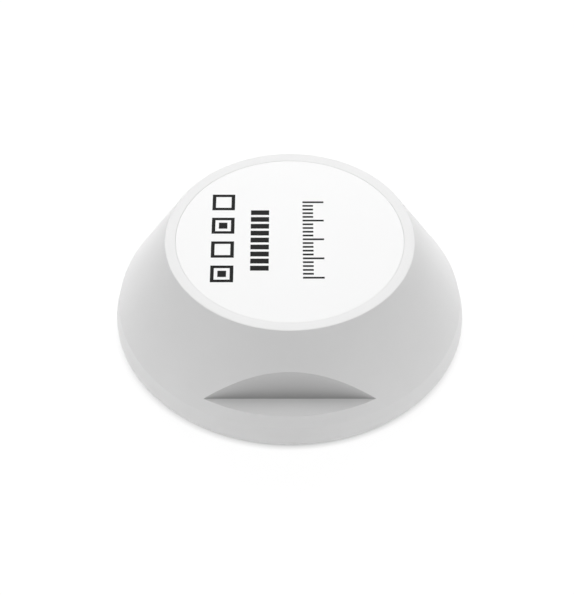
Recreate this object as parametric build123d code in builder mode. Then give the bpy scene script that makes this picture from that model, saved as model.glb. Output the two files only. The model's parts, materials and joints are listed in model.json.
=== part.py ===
from build123d import *
from math import atan2, cos
import os

# Bluetooth beacon tag: a coin-shaped radio transmitter with a replaceable coin cell.
# It stands on its wide face. A cone-shaped shell closes over a base cover, which carries the board.
# Millimetres, +Z up, origin at the middle of the wide face. The notch in the cone faces -Y.

# Outside of the shell
overall_diameter = 36.0
overall_height = 10.9
narrow_face_diameter = 25.2
rim_height = 2.22
rim_foot_height = 0.6  # upright below, leaning in above
rim_lean = 0.38  # how far the rim leans in, up to its crease with the cone
rim_edge_chamfer = 0.25
face_edge_chamfer = 0.05

# Notch in the cone, for a fingernail
notch_depth = 2.92  # from the crease in to the notch's upright wall
notch_ledge_height = 3.32

# Walls of the shell
shell_wall = 1.3
ceiling_thickness = 1.3
cavity_corner_chamfer = 0.5
ceiling_rib_count = 6
ceiling_rib_thickness = 0.7
ceiling_rib_gap = 0.3  # above the battery clip
ceiling_rib_inner_radius = 3.0
ceiling_rib_outer_radius = 10.6

# Label on the narrow face
label_diameter = 23.0
label_thickness = 0.1
label_recess_depth = 0.11
label_gap = 0.02  # all round the film

# Base cover
flange_thickness = 1.2
flange_width = 0.5  # outside the spigot
flange_gap = 0.08  # all round, and above the flange
flange_edge_chamfer = 0.15
spigot_wall = 1.6
spigot_gap = 0.1  # to the shell's bore, which ends where the cone's inside begins
board_seat_height = 2.4
key_count = 3
key_start_angle = 90.0
key_width = 2.2
key_depth = 0.5
key_gap = 0.08
floor_rib_count = 3
floor_rib_thickness = 0.8
floor_rib_height = 0.6
floor_hub_diameter = 5.0
pry_slot_width = 4.0
pry_slot_depth = 0.8
pry_slot_height = 0.7

# Sealing ring, squeezed into the spigot's groove
groove_depth = 0.5
groove_width = 0.72
groove_floor_height = 1.42
ring_side_gap = 0.05
ring_running_gap = 0.05  # to the bore of the shell
ring_edge_chamfer = 0.15

# Board, with a flat that clears the notch's wall
board_thickness = 0.8
board_edge_gap = 0.45  # to the inside of the cone
board_flat_gap = 0.3

# Screws and locating pins
screw_inset = 2.1  # from the board's edge
screw_count = 3
screw_shank_diameter = 1.56
screw_head_diameter = 2.6
screw_head_height = 0.7
screw_length = 2.2
screw_head_chamfer = 0.2
screw_recess_length = 1.4
screw_recess_width = 0.3
screw_recess_depth = 0.35
screw_board_gap = 0.1
pilot_gap = 0.02
boss_wall = 0.7
pin_inset = 1.5
pin_angles = (90.0, 310.0)
pin_diameter = 1.0
pin_gap = 0.05
pin_rise = 0.4  # above the board
pin_tip_chamfer = 0.12

# Coin cell, 20 mm across and 3.2 mm thick, cap down
cell_offset = 0.8  # along X from the axis
cell_diameter = 20.0
cell_height = 3.2
cell_board_gap = 1.1
can_wall = 0.25
can_edge_chamfer = 0.3
can_crimp_drop = 0.5
crimp_lip = 0.5  # how far the can's mouth turns in, from inside its wall
crimp_height = 0.2
gasket_width = 0.75  # between the can's lip and the cap
cap_rise = 2.45
cap_edge_chamfer = 0.2
gasket_gap = 0.03
gasket_rise = 2.55
electrode_gap = 0.1
anode_thickness = 0.6
separator_thickness = 0.1

# Battery clip, bent from strip
clip_thickness = 0.3
clip_width = 8.0
clip_setback = 1.0  # from the cell's middle, away from its way out
clip_side_gap = 0.15
clip_top_gap = 0.05
clip_foot_length = 1.0
clip_bend_radius = 0.5
clip_slot_length = 9.0
clip_slot_width = 0.8
clip_slot_spacing = 3.6
clip_stop_width = 6.0
clip_stop_lift = 0.3  # from the cell's underside up to the tab's end

# Negative contact, a bowed leaf under the cell
leaf_thickness = 0.2
leaf_width = 4.0
leaf_length = 9.0
leaf_foot_length = 1.4
leaf_top_gap = 0.05
leaf_slot_length = 4.0
leaf_slot_width = 0.8

# Electronic parts: length round the board, width and height, with insets from the board's edge
chip_size = (4.0, 4.0, 0.85)
chip_edge_chamfer = 0.06
chip_mark_diameter = 0.5
chip_mark_depth = 0.05
chip_mark_inset = 0.67  # from the chip's edges
chip_inset = 3.1
chip_angle = 180.0
main_crystal_size = (2.5, 2.0, 0.35)
clock_crystal_size = (3.2, 1.5, 0.45)
crystal_lid_inset = 0.15
crystal_lid_height = 0.3
crystal_inset = 2.8
main_crystal_angle = 162.0
clock_crystal_angle = 201.0
antenna_size = (3.2, 1.6, 1.0)
antenna_inset = 1.7
antenna_angle = 56.0
antenna_chamfer = 0.1
hall_body_size = (2.9, 1.3, 1.0)
hall_lead_size = (0.4, 2.4, 0.15)
hall_lead_pitch = 0.95
hall_inset = 2.5
hall_angle = 147.0
led_size = (1.6, 0.8, 0.25)
led_lens_length = 1.0
led_lens_height = 0.35
led_inset = 1.8
led_angle = 297.0
bulk_size = (3.2, 1.6, 1.5)
bulk_rounding = 0.1
bulk_inset = 2.2
bulk_angle = 219.0
small_size = (1.0, 0.5)
capacitor_height = 0.5
resistor_height = 0.35
inductor_size = (2.0, 1.2, 0.8)
small_inset = 1.2
small_chip_gap = 0.45  # from the radio chip to the parts between it and the middle
outer_capacitor_angles = (16.0, 78.0, 104.0, 112.0, 337.0, 344.0)
inner_capacitor_angles = (172.0, 180.0, 188.0)
resistor_angles = (23.0, 30.0, 316.0, 323.0, 330.0)
inductor_angles = (40.0, 132.0)

# Worked out from the sizes above
overall_radius = overall_diameter / 2
crease_radius = overall_radius - rim_lean
narrow_face_radius = narrow_face_diameter / 2
notch_plane_offset = crease_radius - notch_depth
cone_slope = (crease_radius - narrow_face_radius) / (overall_height - rim_height)
cone_lean = atan2(crease_radius - narrow_face_radius, overall_height - rim_height)


def cone_inside_radius(height):
    """Radius of the cone's inner face, one wall thickness inside the outer face."""
    return crease_radius - (height - rim_height) * cone_slope - shell_wall / cos(cone_lean)


spigot_top_height = board_seat_height + flange_gap
spigot_bore_radius = cone_inside_radius(spigot_top_height)
spigot_radius = spigot_bore_radius - spigot_gap
spigot_inner_radius = spigot_radius - spigot_wall
flange_radius = spigot_radius + flange_width
flange_bore_radius = flange_radius + flange_gap
shoulder_height = flange_thickness + flange_gap
ceiling_height = overall_height - label_recess_depth - ceiling_thickness
notch_pad_inside = notch_plane_offset - shell_wall
board_top = board_seat_height + board_thickness
board_radius = cone_inside_radius(board_top) - board_edge_gap
screw_circle_radius = board_radius - screw_inset
pin_circle_radius = board_radius - pin_inset
chip_radius = board_radius - chip_inset
crystal_radius = board_radius - crystal_inset
antenna_radius = board_radius - antenna_inset
hall_radius = board_radius - hall_inset
led_radius = board_radius - led_inset
bulk_radius = board_radius - bulk_inset
small_outer_radius = board_radius - small_inset
small_inner_radius = chip_radius - (chip_size[1] + small_size[1]) / 2 - small_chip_gap
cell_radius = cell_diameter / 2
crimp_radius = cell_radius - can_wall - crimp_lip
cap_radius = crimp_radius - gasket_width
cell_bottom = board_top + cell_board_gap
cell_top = cell_bottom + cell_height
clip_top = cell_top + clip_top_gap + clip_thickness

os.makedirs("parts", exist_ok=True)

# Cavity of the shell, with the corner left solid behind and below the notch
with BuildPart() as cavity:
    with BuildSketch(Plane.XZ) as cavity_profile:
        with BuildLine():
            Polyline(
                (0, 0),
                (flange_bore_radius, 0),
                (flange_bore_radius, shoulder_height),
                (spigot_bore_radius, shoulder_height),
                (spigot_bore_radius, spigot_top_height),
                (cone_inside_radius(ceiling_height), ceiling_height),
                (0, ceiling_height),
                close=True,
            )
        make_face()
        ceiling_corner = cavity_profile.vertices().group_by(Axis.Y)[-1].sort_by(Axis.X)[-1]
        chamfer(ceiling_corner, cavity_corner_chamfer)
    revolve(axis=Axis.Z)
    with Locations((0, -notch_pad_inside, spigot_top_height)):
        Box(
            overall_diameter,
            overall_diameter,
            overall_height,
            align=(Align.CENTER, Align.MAX, Align.MIN),
            mode=Mode.SUBTRACT,
        )

# Shell: face, cone and rim in one moulding
with BuildPart() as shell:
    with BuildSketch(Plane.XZ) as shell_profile:
        with BuildLine():
            Polyline(
                (0, 0),
                (overall_radius, 0),
                (overall_radius, rim_foot_height),
                (crease_radius, rim_height),
                (narrow_face_radius, overall_height),
                (0, overall_height),
                close=True,
            )
        make_face()
        chamfer(shell_profile.vertices().group_by(Axis.Y)[0].sort_by(Axis.X)[-1], rim_edge_chamfer)
        chamfer(shell_profile.vertices().group_by(Axis.Y)[-1].sort_by(Axis.X)[-1], face_edge_chamfer)
    revolve(axis=Axis.Z)
    add(cavity.part, mode=Mode.SUBTRACT)
    with Locations((0, -notch_plane_offset, notch_ledge_height)):
        Box(
            overall_diameter,
            overall_diameter,
            overall_height,
            align=(Align.CENTER, Align.MAX, Align.MIN),
            mode=Mode.SUBTRACT,
        )
    with Locations((0, 0, overall_height)):
        Cylinder(
            label_diameter / 2 + label_gap,
            label_recess_depth,
            align=(Align.CENTER, Align.CENTER, Align.MAX),
            mode=Mode.SUBTRACT,
        )
    with PolarLocations(0, ceiling_rib_count):
        with Locations((ceiling_rib_inner_radius, 0, ceiling_height)):
            Box(
                ceiling_rib_outer_radius - ceiling_rib_inner_radius,
                ceiling_rib_thickness,
                ceiling_height - clip_top - ceiling_rib_gap,
                align=(Align.MIN, Align.CENTER, Align.MAX),
            )
    with PolarLocations(0, key_count, start_angle=key_start_angle):
        Box(
            flange_radius + key_depth + key_gap,
            key_width + 2 * key_gap,
            shoulder_height,
            align=(Align.MIN, Align.CENTER, Align.MIN),
            mode=Mode.SUBTRACT,
        )
shell.part.label = "shell"
export_step(shell.part, "parts/shell.step")

# Label: printed film in the recess of the narrow face
with BuildPart() as label:
    with BuildSketch(Plane.XY.offset(overall_height - label_recess_depth)):
        Circle(label_diameter / 2)
    extrude(amount=label_thickness)
label.part.label = "label"
export_step(label.part, "parts/label.step")

# Base cover: flange, grooved spigot, screw bosses, pins and ribs
screw_places = PolarLocations(screw_circle_radius, screw_count).locations
boss_radius = screw_shank_diameter / 2 + pilot_gap + boss_wall
groove_radius = spigot_radius - groove_depth
groove_roof_height = groove_floor_height + groove_width
with BuildPart() as base_cover:
    with BuildSketch(Plane.XZ) as base_profile:
        with BuildLine():
            Polyline(
                (0, 0),
                (flange_radius, 0),
                (flange_radius, flange_thickness),
                (spigot_radius, flange_thickness),
                (spigot_radius, groove_floor_height),
                (groove_radius, groove_floor_height),
                (groove_radius, groove_roof_height),
                (spigot_radius, groove_roof_height),
                (spigot_radius, board_seat_height),
                (spigot_inner_radius, board_seat_height),
                (spigot_inner_radius, flange_thickness),
                (0, flange_thickness),
                close=True,
            )
        make_face()
        chamfer(base_profile.vertices().group_by(Axis.Y)[0].sort_by(Axis.X)[-1], flange_edge_chamfer)
    revolve(axis=Axis.Z)
    with PolarLocations(0, key_count, start_angle=key_start_angle):
        with Locations((spigot_inner_radius, 0, 0)):
            Box(
                flange_radius + key_depth - spigot_inner_radius,
                key_width,
                flange_thickness,
                align=(Align.MIN, Align.CENTER, Align.MIN),
            )
    with BuildSketch(Plane.XY.offset(flange_thickness)):
        with Locations(*screw_places):
            Circle(boss_radius)
    extrude(amount=board_seat_height - flange_thickness)
    with BuildSketch(Plane.XY.offset(flange_thickness)):
        Circle(floor_hub_diameter / 2)
        with PolarLocations(0, floor_rib_count):
            Rectangle(
                screw_circle_radius - boss_radius,
                floor_rib_thickness,
                align=(Align.MIN, Align.CENTER),
            )
    extrude(amount=floor_rib_height)
    with BuildSketch(Plane.XY.offset(board_seat_height)):
        with Locations(*screw_places):
            Circle(screw_shank_diameter / 2 + pilot_gap)
    extrude(amount=-(screw_length - board_thickness + pilot_gap), mode=Mode.SUBTRACT)
    with BuildSketch(Plane.XY.offset(flange_thickness)):
        for angle in pin_angles:
            with PolarLocations(pin_circle_radius, 1, start_angle=angle):
                Circle(pin_diameter / 2)
    extrude(amount=board_top + pin_rise - flange_thickness)
    chamfer(base_cover.edges().group_by(Axis.Z)[-1], pin_tip_chamfer)
    with Locations((0, -flange_radius, 0)):
        Box(
            pry_slot_width,
            2 * pry_slot_depth,
            pry_slot_height,
            align=(Align.CENTER, Align.CENTER, Align.MIN),
            mode=Mode.SUBTRACT,
        )
base_cover.part.label = "base_cover"
export_step(base_cover.part, "parts/base_cover.step")

# Sealing ring: round cord squeezed to a block section
ring_outer_radius = spigot_bore_radius - ring_running_gap
with BuildPart() as sealing_ring:
    with BuildSketch(Plane.XZ) as ring_section:
        with Locations((groove_radius, groove_floor_height + groove_width / 2)):
            Rectangle(
                ring_outer_radius - groove_radius,
                groove_width - 2 * ring_side_gap,
                align=(Align.MIN, Align.CENTER),
            )
        chamfer(ring_section.vertices().group_by(Axis.X)[-1], ring_edge_chamfer)
    revolve(axis=Axis.Z)
sealing_ring.part.label = "sealing_ring"
export_step(sealing_ring.part, "parts/sealing_ring.step")

# Circuit board
with BuildPart() as circuit_board:
    with BuildSketch(Plane.XY.offset(board_seat_height)):
        Circle(board_radius)
        with Locations((0, board_flat_gap - notch_pad_inside)):
            Rectangle(
                2 * board_radius,
                board_radius,
                align=(Align.CENTER, Align.MAX),
                mode=Mode.SUBTRACT,
            )
        with Locations(*screw_places):
            Circle(screw_shank_diameter / 2 + screw_board_gap, mode=Mode.SUBTRACT)
        for angle in pin_angles:
            with PolarLocations(pin_circle_radius, 1, start_angle=angle):
                Circle(pin_diameter / 2 + pin_gap, mode=Mode.SUBTRACT)
    extrude(amount=board_thickness)
circuit_board.part.label = "circuit_board"
export_step(circuit_board.part, "parts/circuit_board.step")

# Screws, with a cross recess
with BuildPart() as board_screws:
    with BuildSketch(Plane.XY.offset(board_top)):
        with Locations(*screw_places):
            Circle(screw_head_diameter / 2)
    extrude(amount=screw_head_height)
    chamfer(board_screws.edges().group_by(Axis.Z)[-1], screw_head_chamfer)
    with BuildSketch(Plane.XY.offset(board_top)):
        with Locations(*screw_places):
            Circle(screw_shank_diameter / 2)
    extrude(amount=-screw_length)
    with BuildSketch(Plane.XY.offset(board_top + screw_head_height)):
        with Locations(*screw_places):
            Rectangle(screw_recess_length, screw_recess_width)
            Rectangle(screw_recess_width, screw_recess_length)
    extrude(amount=-screw_recess_depth, mode=Mode.SUBTRACT)
board_screws.part.label = "board_screws"
export_step(board_screws.part, "parts/board_screws.step")

# Coin cell, each piece turned about the cell's own axis
cell_axis = Axis((cell_offset, 0, 0), (0, 0, 1))
cell_plane = Plane((cell_offset, 0, cell_bottom), x_dir=(1, 0, 0), z_dir=(0, -1, 0))
anode_bottom = can_wall
separator_bottom = anode_bottom + anode_thickness
cathode_bottom = separator_bottom + separator_thickness
cathode_top = cell_height - can_wall
electrode_radius = cap_radius - can_wall - electrode_gap

with BuildPart() as cell_can:
    with BuildSketch(cell_plane) as can_profile:
        with BuildLine():
            Polyline(
                (0, cell_height),
                (cell_radius, cell_height),
                (cell_radius, crimp_height + can_crimp_drop),
                (crimp_radius + can_wall, crimp_height),
                (crimp_radius, crimp_height),
                (crimp_radius, crimp_height + can_wall),
                (cell_radius - can_wall, crimp_height + can_wall + can_crimp_drop),
                (cell_radius - can_wall, cathode_top),
                (0, cathode_top),
                close=True,
            )
        make_face()
        chamfer(can_profile.vertices().group_by(Axis.Y)[-1].sort_by(Axis.X)[-1], can_edge_chamfer)
    revolve(axis=cell_axis)
cell_can.part.label = "cell_can"
export_step(cell_can.part, "parts/cell_can.step")

with BuildPart() as cell_cap:
    with BuildSketch(cell_plane) as cap_profile:
        with BuildLine():
            Polyline(
                (0, 0),
                (cap_radius, 0),
                (cap_radius, cap_rise),
                (cap_radius - can_wall, cap_rise),
                (cap_radius - can_wall, can_wall),
                (0, can_wall),
                close=True,
            )
        make_face()
        chamfer(cap_profile.vertices().group_by(Axis.Y)[0].sort_by(Axis.X)[-1], cap_edge_chamfer)
    revolve(axis=cell_axis)
cell_cap.part.label = "cell_cap"
export_step(cell_cap.part, "parts/cell_cap.step")

with BuildPart() as cell_gasket:
    with BuildSketch(cell_plane):
        with BuildLine():
            Polyline(
                (cap_radius + gasket_gap, crimp_height + gasket_gap),
                (crimp_radius - gasket_gap, crimp_height + gasket_gap),
                (crimp_radius - gasket_gap, gasket_rise),
                (cap_radius + gasket_gap, gasket_rise),
                close=True,
            )
        make_face()
    revolve(axis=cell_axis)
cell_gasket.part.label = "cell_gasket"
export_step(cell_gasket.part, "parts/cell_gasket.step")


def cell_disc_plane(height):
    """Level plane at a height above the cell's underside, centred on the cell."""
    return Plane((cell_offset, 0, cell_bottom + height))


with BuildPart() as cell_anode:
    with BuildSketch(cell_disc_plane(anode_bottom)):
        Circle(electrode_radius)
    extrude(amount=anode_thickness)
cell_anode.part.label = "cell_anode"
export_step(cell_anode.part, "parts/cell_anode.step")

with BuildPart() as cell_separator:
    with BuildSketch(cell_disc_plane(separator_bottom)):
        Circle(electrode_radius)
    extrude(amount=separator_thickness)
cell_separator.part.label = "cell_separator"
export_step(cell_separator.part, "parts/cell_separator.step")

with BuildPart() as cell_cathode:
    with BuildSketch(cell_disc_plane(cathode_bottom)):
        Circle(electrode_radius)
    extrude(amount=cathode_top - cathode_bottom)
cell_cathode.part.label = "cell_cathode"
export_step(cell_cathode.part, "parts/cell_cathode.step")

# Battery clip: a bridge over the cell, with feet on the board and a stop tab at the back
clip_middle = cell_offset - clip_setback
clip_leg_inside = cell_radius + clip_side_gap
clip_leg_outside = clip_leg_inside + clip_thickness
clip_underside = clip_top - clip_thickness
clip_foot_end = clip_leg_outside + clip_foot_length
stop_back = cell_offset - clip_leg_outside
with BuildPart() as battery_clip:
    with BuildSketch(Plane.YZ.offset(clip_middle)):
        with BuildLine():
            FilletPolyline(
                (-clip_foot_end, board_top),
                (-clip_leg_inside, board_top),
                (-clip_leg_inside, clip_underside),
                (clip_leg_inside, clip_underside),
                (clip_leg_inside, board_top),
                (clip_foot_end, board_top),
                radius=clip_bend_radius,
            )
            offset(amount=clip_thickness, side=Side.LEFT)
        make_face()
    extrude(amount=clip_width / 2, both=True)
    with BuildSketch(Plane.XZ):
        with BuildLine():
            FilletPolyline(
                (clip_middle, clip_top),
                (stop_back, clip_top),
                (stop_back, cell_bottom + clip_stop_lift),
                radius=clip_bend_radius + clip_thickness,
            )
            offset(amount=clip_thickness, side=Side.LEFT)
        make_face()
    extrude(amount=clip_stop_width / 2, both=True)
    with BuildSketch(Plane.XY.offset(clip_top)):
        with GridLocations(clip_slot_spacing, 1, 2, 1):
            with Locations((clip_middle, 0)):
                SlotOverall(clip_slot_length, clip_slot_width, rotation=90)
    extrude(amount=-clip_thickness, mode=Mode.SUBTRACT)
battery_clip.part.label = "battery_clip"
export_step(battery_clip.part, "parts/battery_clip.step")

# Negative contact: bowed leaf with a slot along its middle
leaf_end = leaf_length / 2
leaf_bow_start = leaf_end - leaf_foot_length
leaf_crown = cell_bottom - leaf_top_gap - leaf_thickness
with BuildPart() as negative_contact:
    with BuildSketch(Plane((cell_offset, 0, 0), x_dir=(1, 0, 0), z_dir=(0, -1, 0))):
        with BuildLine():
            Line((-leaf_end, board_top), (-leaf_bow_start, board_top))
            ThreePointArc((-leaf_bow_start, board_top), (0, leaf_crown), (leaf_bow_start, board_top))
            Line((leaf_bow_start, board_top), (leaf_end, board_top))
            offset(amount=leaf_thickness, side=Side.LEFT)
        make_face()
    extrude(amount=leaf_width / 2, both=True)
    with BuildSketch(Plane((cell_offset, 0, cell_bottom))):
        SlotOverall(leaf_slot_length, leaf_slot_width)
    extrude(amount=-cell_board_gap, mode=Mode.SUBTRACT)
negative_contact.part.label = "negative_contact"
export_step(negative_contact.part, "parts/negative_contact.step")


def board_place(radius, angle):
    """Plane on the board's top, turned so that its X runs round the board."""
    return Plane.XY.offset(board_top).rotated((0, 0, angle + 90)).shift_origin(
        Vector(radius, 0, board_top).rotate(Axis.Z, angle)
    )


# Radio chip
with BuildPart() as radio_chip:
    with BuildSketch(board_place(chip_radius, chip_angle)):
        Rectangle(chip_size[0], chip_size[1])
    extrude(amount=chip_size[2])
    chamfer(radio_chip.edges().group_by(Axis.Z)[-1], chip_edge_chamfer)
    with BuildSketch(board_place(chip_radius, chip_angle).offset(chip_size[2])):
        with Locations((chip_mark_inset - chip_size[0] / 2, chip_size[1] / 2 - chip_mark_inset)):
            Circle(chip_mark_diameter / 2)
    extrude(amount=-chip_mark_depth, mode=Mode.SUBTRACT)
radio_chip.part.label = "radio_chip"
export_step(radio_chip.part, "parts/radio_chip.step")

# Crystals: ceramic tray with a metal lid
for crystal_name, crystal_size, crystal_angle in (
    ("main_crystal", main_crystal_size, main_crystal_angle),
    ("clock_crystal", clock_crystal_size, clock_crystal_angle),
):
    with BuildPart() as crystal:
        with BuildSketch(board_place(crystal_radius, crystal_angle)):
            Rectangle(crystal_size[0], crystal_size[1])
        extrude(amount=crystal_size[2])
        with BuildSketch(board_place(crystal_radius, crystal_angle).offset(crystal_size[2])):
            Rectangle(crystal_size[0] - 2 * crystal_lid_inset, crystal_size[1] - 2 * crystal_lid_inset)
        extrude(amount=crystal_lid_height)
    crystal.part.label = crystal_name
    export_step(crystal.part, "parts/" + crystal_name + ".step")

# Chip antenna
with BuildPart() as chip_antenna:
    with BuildSketch(board_place(antenna_radius, antenna_angle)):
        Rectangle(antenna_size[0], antenna_size[1])
    extrude(amount=antenna_size[2])
    chamfer(chip_antenna.edges().group_by(Axis.Z)[-1], antenna_chamfer)
chip_antenna.part.label = "chip_antenna"
export_step(chip_antenna.part, "parts/chip_antenna.step")

# Hall sensor: two leads on one side, one on the other
with BuildPart() as hall_sensor:
    with BuildSketch(board_place(hall_radius, hall_angle).offset(hall_lead_size[2])):
        Rectangle(hall_body_size[0], hall_body_size[1])
    extrude(amount=hall_body_size[2] - hall_lead_size[2])
    with BuildSketch(board_place(hall_radius, hall_angle)):
        with Locations((-hall_lead_pitch, 0), (hall_lead_pitch, 0)):
            Rectangle(hall_lead_size[0], hall_lead_size[1] / 2, align=(Align.CENTER, Align.MIN))
        Rectangle(hall_lead_size[0], hall_lead_size[1] / 2, align=(Align.CENTER, Align.MAX))
    extrude(amount=2 * hall_lead_size[2])
hall_sensor.part.label = "hall_sensor"
export_step(hall_sensor.part, "parts/hall_sensor.step")

# Status lamp: tray with a clear lens
with BuildPart() as status_led:
    with BuildSketch(board_place(led_radius, led_angle)):
        Rectangle(led_size[0], led_size[1])
    extrude(amount=led_size[2])
    with BuildSketch(board_place(led_radius, led_angle).offset(led_size[2])):
        Rectangle(led_lens_length, led_size[1])
    extrude(amount=led_lens_height)
status_led.part.label = "status_led"
export_step(status_led.part, "parts/status_led.step")

# Bulk capacitor
with BuildPart() as bulk_capacitor:
    with BuildSketch(board_place(bulk_radius, bulk_angle)):
        Rectangle(bulk_size[0], bulk_size[1])
    extrude(amount=bulk_size[2])
    fillet(bulk_capacitor.edges().group_by(Axis.Z)[-1], bulk_rounding)
bulk_capacitor.part.label = "bulk_capacitor"
export_step(bulk_capacitor.part, "parts/bulk_capacitor.step")

# Small parts, each group one node of separate solids
capacitor_places = [(small_outer_radius, angle) for angle in outer_capacitor_angles]
capacitor_places += [(small_inner_radius, angle) for angle in inner_capacitor_angles]
with BuildPart() as capacitors:
    for radius, angle in capacitor_places:
        with BuildSketch(board_place(radius, angle)):
            Rectangle(small_size[0], small_size[1])
        extrude(amount=capacitor_height)
capacitors.part.label = "capacitors"
export_step(capacitors.part, "parts/capacitors.step")

with BuildPart() as resistors:
    for angle in resistor_angles:
        with BuildSketch(board_place(small_outer_radius, angle)):
            Rectangle(small_size[0], small_size[1])
        extrude(amount=resistor_height)
resistors.part.label = "resistors"
export_step(resistors.part, "parts/resistors.step")

with BuildPart() as inductors:
    for angle in inductor_angles:
        with BuildSketch(board_place(small_outer_radius, angle)):
            Rectangle(inductor_size[0], inductor_size[1])
        extrude(amount=inductor_size[2])
inductors.part.label = "inductors"
export_step(inductors.part, "parts/inductors.step")
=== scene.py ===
# Looks of the beacon tag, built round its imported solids. Metres, in the solids' own frame.
import json
import math
from collections import namedtuple

import bmesh
import bpy
from mathutils import Matrix, Vector


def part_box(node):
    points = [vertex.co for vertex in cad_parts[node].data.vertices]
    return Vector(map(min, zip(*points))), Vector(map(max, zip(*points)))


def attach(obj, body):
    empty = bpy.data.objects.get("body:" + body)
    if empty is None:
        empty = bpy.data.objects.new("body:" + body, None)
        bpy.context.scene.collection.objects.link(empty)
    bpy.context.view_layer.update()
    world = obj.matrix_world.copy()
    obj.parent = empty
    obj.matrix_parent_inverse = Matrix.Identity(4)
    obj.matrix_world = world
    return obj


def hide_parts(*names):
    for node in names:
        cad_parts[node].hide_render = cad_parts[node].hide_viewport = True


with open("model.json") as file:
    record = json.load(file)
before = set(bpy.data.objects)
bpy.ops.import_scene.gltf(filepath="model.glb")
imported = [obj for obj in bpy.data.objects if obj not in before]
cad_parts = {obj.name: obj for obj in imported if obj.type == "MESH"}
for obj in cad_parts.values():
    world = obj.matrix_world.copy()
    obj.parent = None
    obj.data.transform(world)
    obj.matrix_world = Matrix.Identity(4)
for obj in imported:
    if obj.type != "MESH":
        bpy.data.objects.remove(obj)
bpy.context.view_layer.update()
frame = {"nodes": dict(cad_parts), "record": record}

MM = 0.001
FRONT = -90  # degrees about the tag's axis

# Places read from the frame
LABEL_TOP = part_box("label")[1].z
BOARD_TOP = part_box("circuit_board")[1].z
BOARD_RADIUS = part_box("circuit_board")[1].y
CELL_MIDDLE = (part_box("cell_can")[0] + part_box("cell_can")[1]) / 2
NOTCH_LOW, NOTCH_HIGH = [Vector(corner) for corner in frame["record"]["physics"]["openings"][0]["box_m"]]

# Camera, fitted to the photographed ellipses. Pixels are in the photograph's frame.
PHOTO_WIDTH = 574
PHOTO_HEIGHT = 595
SENSOR_MM = 36.0
FOCAL_PIXELS = 2000.0
CAMERA_ELEVATION = math.radians(46.54)
ORIGIN_PIXEL = (289.69, 312.4)
METRES_PER_PIXEL = 0.10464 * MM
CLIP_NEAR = 0.01
CLIP_FAR = 10.0

# Soft lights in the sky: degrees round from the front, degrees up, and radiance
LIGHTS = (
    (180, 45, 2.4),
    (180, 25, 7.2),
    (90, 20, 3.2),
    (-90, 20, 3.2),
    (45, 40, 2.9),
    (-45, 40, 2.9),
    (0, 90, 0.9),
)
LIGHT_FALL = 24.0  # power of the cosine by which each falls off

# Floor
FLOOR_RADIUS = 1.5
FLOOR_SIDES = 64
FLOOR_DROP = 0.005 * MM
FLOOR_NEAR = 30 * MM
FLOOR_FAR = 45 * MM
FLOOR_NEAR_ALBEDO = 0.92
FLOOR_FAR_ALBEDO = 0.35
FLOOR_NEAR_GLOW = 0.08
FLOOR_SHADOW_SHARE = 0.15
FLOOR_GLOW = 0.90
FLOOR_PAINTED_SHADOW_REACH = 0.8 * MM
FLOOR_PAINTED_SHADOW_DARK = 0.5
FLOOR_OPEN = 0.95  # openness at which the painted contact shadow starts
FLOOR_CLOSED = 0.3  # and at which it is full

# Materials
MIX_SHARE, MIX_FIRST, MIX_SECOND, MIX_RESULT = 0, 6, 7, 2  # a mix node's sockets for colours
OCCLUSION_SAMPLES = 16
EDGE_SAMPLES = 6
WEAR_AND_HIGHLIGHT_SAMPLES = 4
WEAR_AND_HIGHLIGHT_TURN = 0.8  # cosine of the turn at which an edge is fully lightened, by wear and painted highlight
NOISE_DETAIL = 3.0
NOISE_RANGE = (0.2, 0.8)  # where most of a noise's values lie
WAVE_SCALE = math.tau / 20  # a wave texture of scale 1 has 20 / tau waves in a unit
THREAD_WAVER = 0.6
NOTCH_SLACK = 0.2 * MM  # from the opening's box to the faces round it
SQUARE_ON = 0.99  # least share of a normal along an axis, for a face that lies square to it

# Meshes
WELD = 1e-7
LEVEL_SLACK = 0.005 * MM
SHARP_ANGLE = math.radians(35)
DISC_SIDES = 20
SOFT_STEPS = 2
SOFT_PROFILE = 0.6
MITRE_LIMIT = 0.5  # least cosine by which a track's corner is widened

# Print on the label: a ruled scale, a row of blocks and a row of squares, read from the back to the front
PRINT_BOTTOM = -0.002 * MM
PRINT_TOP = 0.007 * MM
SCALE_SIDES = (1.30 * MM, 3.45 * MM)
SCALE_ENDS = (-5.6 * MM, 5.4 * MM)
SCALE_TICKS = 21
SCALE_LONG_TICK = 5  # one tick in so many is long
SCALE_TICK_WIDTH = 0.24 * MM
BLOCK_SIDES = (-3.95 * MM, -2.10 * MM)
BLOCK_ENDS = (-4.5 * MM, 4.4 * MM)
BLOCK_COUNT = 9
BLOCK_FILL = 0.68
SQUARE_MIDDLE = -6.75 * MM
SQUARE_ENDS = (-6.1 * MM, 6.4 * MM)
SQUARE_COUNT = 4
SQUARE_SIDE = 2.3 * MM
SQUARE_LINE = 0.36 * MM

# Heights above the board of what is etched, plated or printed on it
BITE = 0.02 * MM  # how far each goes into the board
TRACK_RISE = 0.03 * MM
VIA_RISE = 0.04 * MM
PAD_RISE = 0.05 * MM
SILK_RISE = 0.062 * MM

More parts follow.
